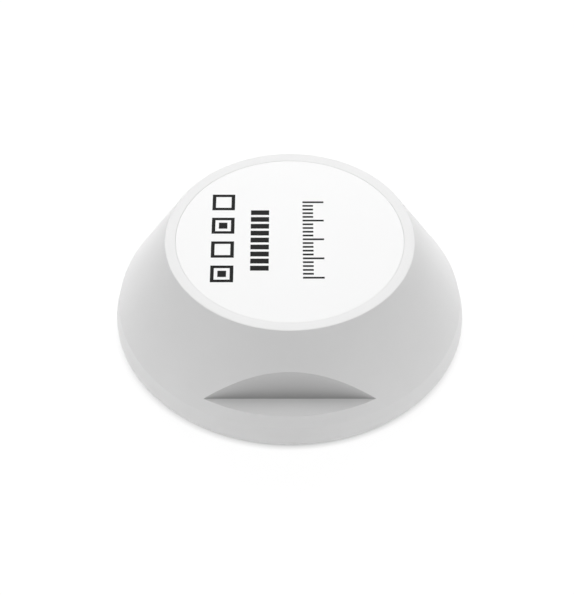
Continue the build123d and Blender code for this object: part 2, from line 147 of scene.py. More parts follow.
# Tracks and plated holes. Angles are in degrees about the tag's axis.
ARC_STEP = 3.0
TRACK_WIDTH = 0.16 * MM
GROUND_WIDTH = 0.5 * MM
GROUND_RADIUS = BOARD_RADIUS - 0.36 * MM
GROUND_ARCS = ((69, 126), (138, 231), (309, 393))
GROUND_VIA_FIRST = 2
GROUND_VIA_STEP = 6
BUS_ARCS = (
    (11.5 * MM, 10, 44),
    (11.8 * MM, 10, 42),
    (12.1 * MM, 10, 40),
    (11.5 * MM, 295, 352),
    (11.8 * MM, 296, 351),
    (12.1 * MM, 297, 350),
    (12.8 * MM, 70, 112),
)
FEED_WIDTH = 0.34 * MM
FEED_RADIUS = 9.6 * MM
FEED_ANGLES = (160, 64.5)
FEED_END = (13.2 * MM, 64.5)
SUPPLY_WIDTH = 0.6 * MM
SUPPLY_RADIUS = 11.3 * MM
SUPPLY_ANGLES = (248, 227)
SUPPLY_END = (12.7 * MM, 226.5)
VIA_RADIUS = 0.19 * MM
VIA_HOLE = 0.09 * MM
VIA_HOLE_SIDES = 12
STRAY_VIAS = ((-1.0, 4.2), (0.4, 4.2), (1.8, 4.2), (-1.0, -4.2), (0.4, -4.2), (7.4, 3.1), (8.1, -2.4))  # mm

# Test pads, pads round the screws, and the coin cell's printed outline
TEST_PADS = 5
TEST_PAD_PITCH = 1.2 * MM
TEST_PAD_X = -6.2 * MM
TEST_PAD_FIRST = -3.7 * MM
TEST_PAD_RADIUS = 0.45 * MM
TEST_TRACK_START = -8.3 * MM
TEST_TRACK_BEND = 0.3 * MM
TEST_TRACK_SLANT = 0.2 * MM
TEST_TRACK_SLANTS = 2  # of the first track, and one more for each further
SCREW_PAD_RADIUS = 1.65 * MM
ROUND_PAD_SIDES = 32
CELL_OUTLINE_RADIUS = 10.25 * MM
CELL_OUTLINE_ARCS = ((-62, 62), (118, 158), (202, 242))

# Metal ends, pads, solder and printed lines of the parts
END_SKIN = 0.015 * MM
END_SOFT = 0.03 * MM
PAD_MARGIN = 0.05 * MM
SOLDER_BITE = 0.05 * MM
SOLDER_STEPS = 5
SOLDER_REACH = 0.85  # of the pad's reach
SOLDER_CLIMB = 0.6  # of the part's height
SILK_LINE = 0.1 * MM
SILK_GAP = 0.12 * MM
SILK_SHARE = 0.3  # of the part's length

# Radio chip
CHIP_CONTACTS = 6
CHIP_PITCH = 0.5 * MM
CHIP_CONTACT_WIDTH = 0.25 * MM
CHIP_CONTACT_HEIGHT = 0.2 * MM
CHIP_PAD_REACH = 0.35 * MM
CHIP_SOLDER_REACH = 0.2 * MM
CHIP_SOLDER_HEIGHT = 0.12 * MM
CHIP_BRACKET_GAP = 0.5 * MM
CHIP_BRACKET_ARM = 0.45 * MM
CHIP_DOT_RADIUS = 0.16 * MM
CHIP_DOT_OFFSET = (0.75 * MM, 0.2 * MM)  # outwards from the chip's corner

# Crystals. Reaches are from the part's end or side, outwards.
CRYSTAL_LID = 0.3 * MM
CRYSTAL_PAD_X = (0.25 * MM, -0.6 * MM)
CRYSTAL_PAD_Y = (0.15 * MM, -0.45 * MM)
CRYSTAL_BRACKET_GAPS = (0.45 * MM, 0.35 * MM)
CRYSTAL_BRACKET_ARM = 0.35 * MM

# Chip antenna
ANTENNA_CAP = 0.35 * MM
ANTENNA_PAD_REACH = 0.4 * MM
ANTENNA_FOLDS = 7
ANTENNA_END_MARGIN = 0.55 * MM
ANTENNA_SIDE_MARGIN = 0.3 * MM
ANTENNA_LINE = 0.12 * MM
ANTENNA_LINE_RISE = 0.012 * MM

# Hall sensor
HALL_PITCH = 0.95 * MM
HALL_LEAD_REACH = 1.2 * MM
HALL_PAD_X = (-0.45 * MM, 0.35 * MM)  # from the lead's end, outwards
HALL_PAD_HALF = 0.35 * MM
HALL_SOLDER_REACH = 0.28 * MM
HALL_SOLDER_HALF = 0.24 * MM
HALL_SOLDER_HEIGHT = 0.22 * MM
HALL_BRACKET_GAPS = (0.25 * MM, 0.2 * MM)
HALL_BRACKET_ARM = 0.3 * MM

# Status lamp
LAMP_TRAY = 0.25 * MM
LAMP_CAP = 0.22 * MM
LAMP_PAD_REACH = 0.3 * MM
LAMP_MARK_X = (0.45 * MM, 0.6 * MM)  # from the lamp's end, outwards

# Bulk capacitor. Reaches are from the body's end, outwards.
BULK_STRIP_HALF = 0.35  # of the body's width
BULK_STRIP_THICK = 0.1 * MM
BULK_STRIP_CLIMB = 0.55  # of the body's height
BULK_PAD_X = (-0.6 * MM, 0.5 * MM)
BULK_PAD_MARGIN = 0.1 * MM
BULK_SOLDER_REACH = 0.35 * MM
BULK_SOLDER_CLIMB = 0.35  # of the body's height
BULK_BAR_X = (-0.18 * MM, -0.75 * MM)
BULK_BAR_MARGIN = 0.12 * MM
BULK_BAR_RISE = 0.008 * MM
BULK_MARK_X = (0.8 * MM, 0.62 * MM)

# Ceramic capacitors, resistors and inductors, with the length of their metal ends
SMALL_CAPS = (("capacitors", 0.24 * MM), ("resistors", 0.18 * MM), ("inductors", 0.35 * MM))
SMALL_PAD_REACH = 0.3 * MM
SMALL_RING = 11.0 * MM  # a part outside this radius has its own tracks
SMALL_TRACK_GAP = 0.1 * MM
SMALL_VIA_GAP = 0.45 * MM

# Seats of the clip's and the leaf's feet: the pad's reach each way from the foot's end and its margin at
# the sides, then the solder's reach and height
Seat = namedtuple("Seat", "inwards outwards margin reach height")
CLIP_SEAT = Seat(inwards=1.2 * MM, outwards=0.45 * MM, margin=0.4 * MM, reach=0.38 * MM, height=0.24 * MM)
LEAF_SEAT = Seat(inwards=1.3 * MM, outwards=0.45 * MM, margin=0.3 * MM, reach=0.35 * MM, height=0.16 * MM)
SEAT_SOLDER_INSET = 0.1 * MM
CLIP_FOOT_LEFT = -4.2 * MM
CLIP_FLANK_INWARDS = 0.5 * MM
CLIP_FLANK_REACH = 0.32 * MM
CLIP_FLANK_HALF = 0.4 * MM
CLIP_FLANK_HEIGHT = 0.22 * MM

# Sealing ring and the mark on the coin cell
SEAL_TURNS = 180
SEAL_SECTION = 16
SEAL_SQUARENESS = 0.7
SEAL_FLASH = 0.015 * MM
PLUS_OFFSET = 6.6 * MM
PLUS_SIZE = 2.4 * MM
PLUS_LINE = 0.5 * MM
PLUS_RISE = 0.03 * MM

# Layers on the board and its parts, each with the name of its piece, its material and its finish's slot
BOARD_LAYERS = {
    "antenna": ("antenna_print", "silver", "antenna_ceramic"),
    "ends": ("part_ends", "tin", "contact_steel"),
    "pads": ("solder_pads", "tin", "contact_steel"),
    "solder": ("solder", "solder", "contact_steel"),
    "silk": ("board_print", "silk", "label_film"),
    "tracks": ("board_tracks", "masked_copper", "board_laminate"),
    "rings": ("via_rings", "gold", "contact_steel"),
    "holes": ("via_holes", "epoxy", "chip_plastic"),
    "gold": ("test_pads", "gold", "contact_steel"),
}

Solid = namedtuple("Solid", "place long wide high radius")


def make_camera():
    """Perspective camera at the photograph's angle, with its principal point in the picture's middle."""
    up = Vector((0, math.sin(CAMERA_ELEVATION), math.cos(CAMERA_ELEVATION)))
    back = Vector((0, -math.cos(CAMERA_ELEVATION), math.sin(CAMERA_ELEVATION)))
    data = bpy.data.cameras.new("camera")
    data.sensor_width = SENSOR_MM
    data.lens = FOCAL_PIXELS / PHOTO_HEIGHT * SENSOR_MM
    data.clip_start = CLIP_NEAR
    data.clip_end = CLIP_FAR
    camera = bpy.data.objects.new("camera", data)
    across = (ORIGIN_PIXEL[0] - PHOTO_WIDTH / 2) * METRES_PER_PIXEL
    below = (ORIGIN_PIXEL[1] - PHOTO_HEIGHT / 2) * METRES_PER_PIXEL
    camera.location = Vector((-across, 0, 0)) + up * below + back * FOCAL_PIXELS * METRES_PER_PIXEL
    camera.rotation_euler = (math.pi / 2 - CAMERA_ELEVATION, 0, 0)
    bpy.context.scene.collection.objects.link(camera)
    bpy.context.scene.camera = camera


def add_node(tree, kind, inputs, **settings):
    """Adds a shader node, with its inputs linked or set by name or number. Returns its outputs."""
    node = tree.nodes.new("ShaderNode" + kind)
    for name, value in settings.items():
        setattr(node, name, value)
    for key, value in inputs.items():
        if isinstance(value, bpy.types.NodeSocket):
            tree.links.new(value, node.inputs[key])
        else:
            node.inputs[key].default_value = value
    return node.outputs


def maths(tree, operation, first, second, clamp=False):
    """A sum, product or the like of two outputs or numbers."""
    return add_node(tree, "Math", {0: first, 1: second}, operation=operation, use_clamp=clamp)[0]


def remapped(tree, value, start, end, low=0.0, high=1.0):
    """Maps start to end onto low to high, and holds the value beyond them."""
    inputs = {"Value": value, "From Min": start, "From Max": end, "To Min": low, "To Max": high}
    return add_node(tree, "MapRange", inputs)["Result"]


def toned(tree, colour, blend, share, grey):
    """Blends a share of a grey into a colour."""
    inputs = {MIX_SHARE: share, MIX_FIRST: colour, MIX_SECOND: (grey, grey, grey, 1)}
    return add_node(tree, "Mix", inputs, data_type="RGBA", blend_type=blend)[MIX_RESULT]


def seen_directly(tree):
    """1 for rays from the camera, from gloss and through glass, and 0 for the rest."""
    path = add_node(tree, "LightPath", {})
    seen = maths(tree, "MAXIMUM", path["Is Camera Ray"], path["Is Glossy Ray"])
    return maths(tree, "MAXIMUM", seen, path["Is Transmission Ray"])


def make_world():
    """Soft lights behind, at the sides, at the front corners and overhead. Seen directly, it is white."""
    world = bpy.data.worlds.new("studio")
    bpy.context.scene.world = world
    world.use_nodes = True
    tree = world.node_tree
    direction = add_node(tree, "TexCoord", {})["Generated"]
    sky = 0.0
    for azimuth, elevation, radiance in LIGHTS:
        rise = math.radians(elevation)
        source = at(math.cos(rise), FRONT + azimuth, math.sin(rise))
        towards = add_node(tree, "VectorMath", {0: direction, 1: source}, operation="DOT_PRODUCT")["Value"]
        cosine = maths(tree, "MAXIMUM", towards, 0.0)
        lobe = maths(tree, "MULTIPLY", maths(tree, "POWER", cosine, LIGHT_FALL), radiance)
        sky = maths(tree, "ADD", lobe, sky)
    strength = add_node(tree, "Mix", {"Factor": seen_directly(tree), "A": sky, "B": 1.0})["Result"]
    background = tree.nodes["Background"]
    background.inputs["Color"].default_value = (1, 1, 1, 1)
    tree.links.new(strength, background.inputs["Strength"])


def painted_contact_shadow(tree, place):
    """Painted contact shadow on the floor by the tag's edge: darkest in front, as most light comes from
    behind.
    """
    reach = {"Distance": FLOOR_PAINTED_SHADOW_REACH}
    openness = add_node(tree, "AmbientOcclusion", reach, samples=OCCLUSION_SAMPLES)["AO"]
    shade = remapped(tree, openness, FLOOR_OPEN, FLOOR_CLOSED)
    way = add_node(tree, "VectorMath", {0: place}, operation="NORMALIZE")["Vector"]
    forward = maths(tree, "MULTIPLY", add_node(tree, "SeparateXYZ", {0: way})["Y"], -1.0)
    dark = maths(tree, "MULTIPLY", shade, maths(tree, "MAXIMUM", forward, 0.0))
    return maths(tree, "SUBTRACT", 1.0, maths(tree, "MULTIPLY", dark, FLOOR_PAINTED_SHADOW_DARK))


def make_floor():
    """White floor with a painted contact shadow by the tag and a faint share of its real shadow, which
    throws most light back close to it.
    """
    material = bpy.data.materials.new("floor")
    material.use_nodes = True
    tree = material.node_tree
    tree.nodes.clear()
    place = add_node(tree, "TexCoord", {})["Object"]
    # The glow that the camera sees, darkened by the painted contact shadow
    brightness = maths(tree, "MULTIPLY", painted_contact_shadow(tree, place), FLOOR_GLOW)
    glow = add_node(tree, "Emission", {"Strength": brightness})[0]
    distance = add_node(tree, "VectorMath", {0: place}, operation="LENGTH")["Value"]
    albedo = remapped(tree, distance, FLOOR_NEAR, FLOOR_FAR, FLOOR_NEAR_ALBEDO, FLOOR_FAR_ALBEDO)
    matt = add_node(tree, "BsdfDiffuse", {"Color": albedo})[0]
    near = maths(tree, "LESS_THAN", distance, FLOOR_NEAR)
    lit = add_node(tree, "Emission", {"Strength": maths(tree, "MULTIPLY", near, FLOOR_NEAR_GLOW)})[0]
    table = add_node(tree, "AddShader", {0: matt, 1: lit})[0]
    faint_grey = (FLOOR_SHADOW_SHARE, FLOOR_SHADOW_SHARE, FLOOR_SHADOW_SHARE, 1)
    faint = add_node(tree, "BsdfDiffuse", {"Color": faint_grey})[0]
    shown = add_node(tree, "AddShader", {0: glow, 1: faint})[0]
    mix = add_node(tree, "MixShader", {"Fac": seen_directly(tree), 1: table, 2: shown})[0]
    add_node(tree, "OutputMaterial", {"Surface": mix})
    shape = bmesh.new()
    bmesh.ops.create_circle(shape, cap_ends=True, segments=FLOOR_SIDES, radius=FLOOR_RADIUS)
    bmesh.ops.translate(shape, verts=shape.verts, vec=(0, 0, -FLOOR_DROP))
    as_object(shape, "floor", material)


def as_object(shape, name, material):
    """Turns a bmesh into an object of that name and material, smooth apart from its sharp edges."""
    mesh = bpy.data.meshes.new(name)
    bmesh.ops.recalc_face_normals(shape, faces=shape.faces)
    shape.to_mesh(mesh)
    shape.free()
    mesh.materials.append(material)
    mesh.polygons.foreach_set("use_smooth", [True] * len(mesh.polygons))
    mesh.set_sharp_from_angle(angle=SHARP_ANGLE)
    obj = bpy.data.objects.new(name, mesh)
    bpy.context.scene.collection.objects.link(obj)
    return obj


def add_piece(shape, name, material, body):
    """Makes a piece of the tag that moves with a body, with its material."""
    piece = as_object(shape, name, material)
    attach(piece, body)
    return piece


def standing(middle, way):
    """Frame that stands at a point, with its X along a level direction given as an angle."""
    return Matrix.Translation(middle) @ Matrix.Rotation(way, 4, "Z")


def at(radius, degrees, height):
    """Point at a radius and angle about the tag's axis."""
    angle = math.radians(degrees)
    return Vector((radius * math.cos(angle), radius * math.sin(angle), height))


def add_box(shape, place, low, high, soft=0.0):
    """Adds a box between two corners in a place's own frame, with softened edges."""
    size = [b - a for a, b in zip(low, high)]
    middle = [(a + b) / 2 for a, b in zip(low, high)]
    matrix = place @ Matrix.Translation(middle) @ Matrix.Diagonal((*size, 1.0))
    corners = bmesh.ops.create_cube(shape, size=1.0, matrix=matrix)["verts"]
    if soft:
        edges = list(dict.fromkeys(edge for corner in corners for edge in corner.link_edges))
        bmesh.ops.bevel(
            shape, geom=edges, offset=soft, segments=SOFT_STEPS, profile=SOFT_PROFILE, affect="EDGES"
        )


def add_disc(shape, middle, radius, height, sides=DISC_SIDES):
    """Adds an upright disc that stands on a point."""
    matrix = Matrix.Translation(Vector(middle) + Vector((0, 0, height / 2)))
    bmesh.ops.create_cone(
        shape, cap_ends=True, segments=sides, radius1=radius, radius2=radius, depth=height, matrix=matrix
    )


def add_prism(shape, place, outline, sides):
    """Adds a solid whose outline lies in a place's XZ plane, between two values of Y."""
    ends = [[shape.verts.new(place @ Vector((x, y, z))) for x, z in outline] for y in sides]
    shape.faces.new(ends[0])
    shape.faces.new(reversed(ends[1]))
    for corner in range(len(outline)):
        shape.faces.new((ends[0][corner], ends[0][corner - 1], ends[1][corner - 1], ends[1][corner]))


def add_outline(shape, place, half_x, half_y, line, bottom, top):
    """Adds a flat square outline of four bars that meet without overlapping."""
    for side in (-1, 1):
        ends = sorted((side * half_y, side * (half_y - line)))
        add_box(shape, place, (-half_x, ends[0], bottom), (half_x, ends[1], top))
        ends = sorted((side * half_x, side * (half_x - line)))
        add_box(shape, place, (ends[0], line - half_y, bottom), (ends[1], half_y - line, top))


def add_solder(shape, place, start, reach, sides, height):
    """Adds a hollow-sloped fillet of solder that climbs a face standing at X = start."""
    shares = [step / SOLDER_STEPS for step in range(SOLDER_STEPS + 1)]
    slope = [(start + reach * share, height * (1 - share) ** 2) for share in shares]
    inside = start - SOLDER_BITE
    add_prism(shape, place, [(inside, 0.0), (inside, height)] + slope, sides)


def add_track(shape, points, width, height):
    """Adds a flat strip of even width along a line of points on the board."""
    half = width / 2
    rings = []
    for index, point in enumerate(points):
        before = points[max(index - 1, 0)]
        after = points[min(index + 1, len(points) - 1)]
        first = (point - before).normalized() if index else (after - point).normalized()
        last = (after - point).normalized() if index < len(points) - 1 else first
        across = Vector((-(first.y + last.y), first.x + last.x, 0)).normalized()
        mitre = half / max(MITRE_LIMIT, across.dot(Vector((-first.y, first.x, 0))))
        corners = ((1, -BITE), (-1, -BITE), (-1, height), (1, height))
        offsets = [across * side * mitre + Vector((0, 0, z)) for side, z in corners]
        rings.append([shape.verts.new(point + offset) for offset in offsets])
    shape.faces.new(rings[0])
    shape.faces.new(reversed(rings[-1]))
    for near, far in zip(rings, rings[1:]):
        for corner in range(len(near)):
            shape.faces.new((near[corner - 1], near[corner], far[corner], far[corner - 1]))


def arc(radius, start, end):
    """Points on the board along an arc about the tag's axis, every few degrees."""
    steps = max(2, int(abs(end - start) / ARC_STEP))
    return [at(radius, start + (end - start) * i / steps, BOARD_TOP) for i in range(steps + 1)]


def solids_of(name, top=False):
    """The separate solids of a CAD node, each placed by its corners at the bottom or the top."""
    shape = bmesh.new()
    shape.from_mesh(frame["nodes"][name].data)
    bmesh.ops.remove_doubles(shape, verts=shape.verts, dist=WELD)
    seen = set()
    solids = []
    for first in shape.verts:
        if first in seen:
            continue
        seen.add(first)
        island = [first]
        for corner in island:
            for edge in corner.link_edges:
                other = edge.other_vert(corner)
                if other not in seen:
                    seen.add(other)
                    island.append(other)
        solids.append(solid_of([corner.co.copy() for corner in island], top))
    shape.free()
    return solids


def solid_of(points, top):
    """Size and frame of one upright solid. Its X runs round the board and its Y runs inwards."""
    bottom = min(p.z for p in points)
    roof = max(p.z for p in points)
    level = roof if top else bottom
    corners = [p for p in points if abs(p.z - level) < LEVEL_SLACK]
    middle = sum(corners, Vector()) / len(corners)
    place = standing((middle.x, middle.y, bottom), math.atan2(middle.y, middle.x) + math.pi / 2)
    local = [place.inverted() @ p for p in corners]
    long = 2 * max(p.x for p in local)
    wide = 2 * max(p.y for p in local)
    return Solid(place, long, wide, roof - bottom, middle.xy.length)


def millimetres(tree, stretch=(1.0, 1.0, 1.0)):
    """The object's own coordinates in millimetres, stretched for grain that runs one way."""
    place = add_node(tree, "TexCoord", {})["Object"]
    scale = [s / MM for s in stretch]
    return add_node(tree, "VectorMath", {0: place, 1: scale}, operation="MULTIPLY")["Vector"]


def noise(tree, vector, per_mm):
    """Fractal noise with so many features in a millimetre."""
    return add_node(tree, "TexNoise", {"Scale": per_mm, "Detail": NOISE_DETAIL, "Vector": vector})[0]


def granules(tree, vector, per_mm):
    """Packed grains with so many in a millimetre."""
    return add_node(tree, "TexVoronoi", {"Scale": per_mm, "Vector": vector})["Distance"]


def threads(tree, vector, per_mm):
    """Crossed threads of glass cloth with so many in a millimetre."""
    inputs = {"Scale": per_mm * WAVE_SCALE, "Distortion": THREAD_WAVER, "Vector": vector}
    warp, weft = [add_node(tree, "TexWave", inputs, bands_direction=way)["Fac"] for way in ("X", "Y")]
    return maths(tree, "MULTIPLY", warp, weft)


def turned_rings(tree, vector, per_mm):
    """Fine rings about the coin cell's axis, with so many in a millimetre."""
    middle = [v / MM for v in CELL_MIDDLE]
    offset = add_node(tree, "VectorMath", {0: vector, 1: middle}, operation="SUBTRACT")["Vector"]
    flat = add_node(tree, "VectorMath", {0: offset, 1: (1.0, 1.0, 0.0)}, operation="MULTIPLY")["Vector"]
    radius = add_node(tree, "VectorMath", {0: flat}, operation="LENGTH")["Value"]
    return noise(tree, add_node(tree, "CombineXYZ", {"X": radius})[0], per_mm)


def tinted(tree, value, colour, swing):
    """The colour, darker by the swing where a noise is low and lighter where it is high."""
    ramp = tree.nodes.new("ShaderNodeValToRGB")
    for element, position, factor in zip(ramp.color_ramp.elements, NOISE_RANGE, (1 - swing, 1 + swing)):
        element.position = position
        element.color = [min(1.0, c * factor) for c in colour] + [1.0]
    tree.links.new(value, ramp.inputs["Fac"])
    return ramp.outputs["Color"]


def soft_normal(tree, radius_mm, samples):
    """The surface's normal, as if its edges were rounded to a radius."""
    return add_node(tree, "Bevel", {"Radius": radius_mm * MM}, samples=samples)[0]


def worn_and_highlit_edges(tree, colour, radius_mm, gain):
    """Lightens a colour along the object's edges, as wear where it is rubbed and as a painted highlight."""
    rounded = soft_normal(tree, radius_mm, WEAR_AND_HIGHLIGHT_SAMPLES)
    flat = add_node(tree, "NewGeometry", {})["Normal"]
    turn = add_node(tree, "VectorMath", {0: rounded, 1: flat}, operation="DOT_PRODUCT")["Value"]
    edge = remapped(tree, turn, 1.0, WEAR_AND_HIGHLIGHT_TURN)
    return toned(tree, colour, "ADD", maths(tree, "MULTIPLY", edge, gain), 1)


def painted_corner_shade(tree, colour, reach_mm, depth, power):
    """Paints shade into a colour where the object's own faces meet in a corner."""
    reach = {"Distance": reach_mm * MM}
    openness = add_node(tree, "AmbientOcclusion", reach, only_local=True, samples=OCCLUSION_SAMPLES)["AO"]
    closed = maths(tree, "SUBTRACT", 1.0, openness, clamp=True)
    share = maths(tree, "MULTIPLY", maths(tree, "POWER", closed, power), depth)
    return toned(tree, colour, "MULTIPLY", share, 0)


def surface(
    name,
    colour,
    roughness,
    metallic=0.0,
    pattern=noise,
    swing=0.03,
    grain_share=0.0,
    patches_per_mm=0.3,
    grain_per_mm=8.0,
    relief_mm=0.001,
    gloss_swing=0.05,
    stretch=(1.0, 1.0, 1.0),
    soft_edge_mm=0.0,
    edge_wear_and_highlight=0.0,
    corner_reach_mm=0.0,
    corner_depth=0.0,
    corner_power=1.0,
    clearness=0.0,
    specular=0.5,
):
    """Material with broad patches and a fine pattern in its colour, gloss and relief, and softened edges."""
    material = bpy.data.materials.new(name)
    material.use_nodes = True
    tree = material.node_tree
    shader = tree.nodes["Principled BSDF"]
    shader.inputs["Metallic"].default_value = metallic
    shader.inputs["Transmission Weight"].default_value = clearness
    shader.inputs["Specular IOR Level"].default_value = specular
    patches = noise(tree, millimetres(tree), patches_per_mm)
    grain = pattern(tree, millimetres(tree, stretch), grain_per_mm)
    broad = maths(tree, "MULTIPLY", patches, 1 - grain_share)
    mixed = maths(tree, "ADD", broad, maths(tree, "MULTIPLY", grain, grain_share))
    shade = tinted(tree, mixed, colour, swing)
    # Edges lightened, partly as wear and partly as a painted highlight
    if edge_wear_and_highlight:
        shade = worn_and_highlit_edges(tree, shade, soft_edge_mm, edge_wear_and_highlight)
    # Shade painted into the colour where the object's own faces meet in a corner
    if corner_depth:
        shade = painted_corner_shade(tree, shade, corner_reach_mm, corner_depth, corner_power)
    tree.links.new(shade, shader.inputs["Base Color"])
    gloss = remapped(tree, grain, 0.0, 1.0, roughness - gloss_swing, roughness + gloss_swing)
    tree.links.new(gloss, shader.inputs["Roughness"])
    relief = {"Strength": 1.0, "Distance": relief_mm * MM, "Height": grain}
    if soft_edge_mm:
        relief["Normal"] = soft_normal(tree, soft_edge_mm, EDGE_SAMPLES)
    tree.links.new(add_node(tree, "Bump", relief)[0], shader.inputs["Normal"])
    return material


def dress(nodes, material):
    """Gives CAD nodes their material."""
    for name in nodes:
        mesh = frame["nodes"][name].data
        mesh.materials.clear()
        mesh.materials.append(material)


def dress_faces(name, materials, choose):
    """Gives each face of a CAD node one of its materials, chosen by the face's middle and normal."""
    mesh = frame["nodes"][name].data
    mesh.materials.clear()
    for material in materials:
        mesh.materials.append(material)
    for polygon in mesh.polygons:
        polygon.material_index = choose(polygon.center, polygon.normal)


def part_of_notch(middle, normal):
    """0 for a face of the shell outside its notch, 1 for the notch's wall and 2 for its ledge; the notch's
    faces take painted shade.
    """
    if normal.y < -SQUARE_ON and abs(middle.y - NOTCH_HIGH.y) < NOTCH_SLACK:
        return 1
    if normal.z > SQUARE_ON and abs(middle.z - NOTCH_LOW.z) < NOTCH_SLACK and middle.y < NOTCH_HIGH.y:
        return 2
    return 0


def print_scale(level):
    """Ruled scale, with a long tick every few."""
    shape = bmesh.new()
    step = (SCALE_ENDS[1] - SCALE_ENDS[0] - SCALE_TICK_WIDTH) / (SCALE_TICKS - 1)
    for tick in range(SCALE_TICKS):
        start = SCALE_ENDS[0] + tick * step
        full = tick % SCALE_LONG_TICK == 0
        right = SCALE_SIDES[1] if full else (SCALE_SIDES[0] + SCALE_SIDES[1]) / 2
        end = start + SCALE_TICK_WIDTH
        add_box(shape, level, (SCALE_SIDES[0], start, PRINT_BOTTOM), (right, end, PRINT_TOP))
    return shape


def print_blocks(level):
    """Row of solid blocks."""
    shape = bmesh.new()
    pitch = (BLOCK_ENDS[1] - BLOCK_ENDS[0]) / BLOCK_COUNT
    for block in range(BLOCK_COUNT):
        start = BLOCK_ENDS[0] + block * pitch
        end = start + BLOCK_FILL * pitch
        add_box(shape, level, (BLOCK_SIDES[0], start, PRINT_BOTTOM), (BLOCK_SIDES[1], end, PRINT_TOP))
    return shape


def print_squares(level):
    """Row of square outlines, of which every other one has a solid middle."""
    shape = bmesh.new()
    pitch = (SQUARE_ENDS[1] - SQUARE_ENDS[0] - SQUARE_SIDE) / (SQUARE_COUNT - 1)
    outside = SQUARE_SIDE / 2
    inside = outside - 2 * SQUARE_LINE
    for square in range(SQUARE_COUNT):
        middle = (SQUARE_MIDDLE, SQUARE_ENDS[0] + square * pitch + outside, 0)
        place = level @ Matrix.Translation(middle)
        add_outline(shape, place, outside, outside, SQUARE_LINE, PRINT_BOTTOM, PRINT_TOP)
        if square % 2 == 0:
            add_box(shape, place, (-inside, -inside, PRINT_BOTTOM), (inside, inside, PRINT_TOP))
    return shape


def make_print(ink):
    """The label's generic print: only bars and squares."""
    level = Matrix.Translation((0, 0, LABEL_TOP))
    add_piece(print_scale(level), "print_scale", ink, "housing")
    add_piece(print_blocks(level), "print_blocks", ink, "housing")
    add_piece(print_squares(level), "print_squares", ink, "housing")


def add_mark(board, place, x, y):
    """Prints a bar on the board between two X and two Y."""
    add_box(board["silk"], place, (min(x), min(y), -BITE), (max(x), max(y), SILK_RISE))


def add_brackets(board, place, half_x, half_y, arm):
    """Prints a bracket round each corner of a part."""
    for side_x in (-1, 1):
        for side_y in (-1, 1):
            x = (side_x * half_x, side_x * (half_x - arm))
            y = (side_y * half_y, side_y * (half_y - SILK_LINE))
            add_mark(board, place, x, y)
            x = (side_x * half_x, side_x * (half_x - SILK_LINE))
            y = (side_y * (half_y - SILK_LINE), side_y * (half_y - arm))
            add_mark(board, place, x, y)


def add_pad(board, place, x, y):
    """Adds a flat pad on the board between two X and two Y."""
    add_box(board["pads"], place, (min(x), min(y), -BITE), (max(x), max(y), PAD_RISE))


def add_via(board, point):
    """Plated hole with its ring."""
    add_disc(board["rings"], point - Vector((0, 0, BITE)), VIA_RADIUS, BITE + VIA_RISE)
    add_disc(board["holes"], point, VIA_HOLE, PAD_RISE, sides=VIA_HOLE_SIDES)


def add_two_ends(board, solid, cap, reach):
    """Metal ends, pads, solder and printed side lines of a part with an end at each side."""
    half, side = solid.long / 2, solid.wide / 2
    climb = solid.high * SOLDER_CLIMB
    for way in (0.0, math.pi):
        place = solid.place @ Matrix.Rotation(way, 4, "Z")
        low = (half - cap, -side - END_SKIN, 0.0)
        high = (half + END_SKIN, side + END_SKIN, solid.high + END_SKIN)
        add_box(board["ends"], place, low, high, END_SOFT)
        add_pad(board, place, (half - cap, half + reach), (-side - PAD_MARGIN, side + PAD_MARGIN))
        add_solder(board["solder"], place, half + END_SKIN, reach * SOLDER_REACH, (-side, side), climb)
        y = (side + SILK_GAP, side + SILK_GAP + SILK_LINE)
        add_mark(board, place, (-SILK_SHARE * half, SILK_SHARE * half), y)


def dress_chip(board):
    """Radio chip: contacts along its four sides, each on its pad, and corner brackets."""
    chip = solids_of("radio_chip")[0]
    half = chip.long / 2
    for quarter in range(4):
        place = chip.place @ Matrix.Rotation(quarter * math.pi / 2, 4, "Z")
        for contact in range(CHIP_CONTACTS):
            y = (contact - (CHIP_CONTACTS - 1) / 2) * CHIP_PITCH
            sides = (y - CHIP_CONTACT_WIDTH / 2, y + CHIP_CONTACT_WIDTH / 2)
            face = half + END_SKIN
            low = (half - 2 * END_SKIN, sides[0], 0.0)
            add_box(board["ends"], place, low, (face, sides[1], CHIP_CONTACT_HEIGHT))
            add_pad(board, place, (half, half + CHIP_PAD_REACH), sides)
            add_solder(board["solder"], place, face, CHIP_SOLDER_REACH, sides, CHIP_SOLDER_HEIGHT)
    add_brackets(board, chip.place, half + CHIP_BRACKET_GAP, half + CHIP_BRACKET_GAP, CHIP_BRACKET_ARM)
    corner = chip.place @ Vector((-half - CHIP_DOT_OFFSET[0], half + CHIP_DOT_OFFSET[1], -BITE))
    add_disc(board["silk"], corner, CHIP_DOT_RADIUS, BITE + SILK_RISE)


def dress_crystal(board, name, ceramic, lid):
    """Crystal: ceramic tray and metal lid, on four pads."""
    crystal = solids_of(name)[0]
    tray_top = crystal.place.translation.z + crystal.high - CRYSTAL_LID
    dress_faces(name, (ceramic, lid), lambda middle, normal: int(middle.z > tray_top + LEVEL_SLACK))
    half, side = crystal.long / 2, crystal.wide / 2
    for x in (-1, 1):
        for y in (-1, 1):
            pad_x = [x * (half + reach) for reach in CRYSTAL_PAD_X]
            pad_y = [y * (side + reach) for reach in CRYSTAL_PAD_Y]
            add_pad(board, crystal.place, pad_x, pad_y)
    gap_x, gap_y = CRYSTAL_BRACKET_GAPS
    add_brackets(board, crystal.place, half + gap_x, side + gap_y, CRYSTAL_BRACKET_ARM)


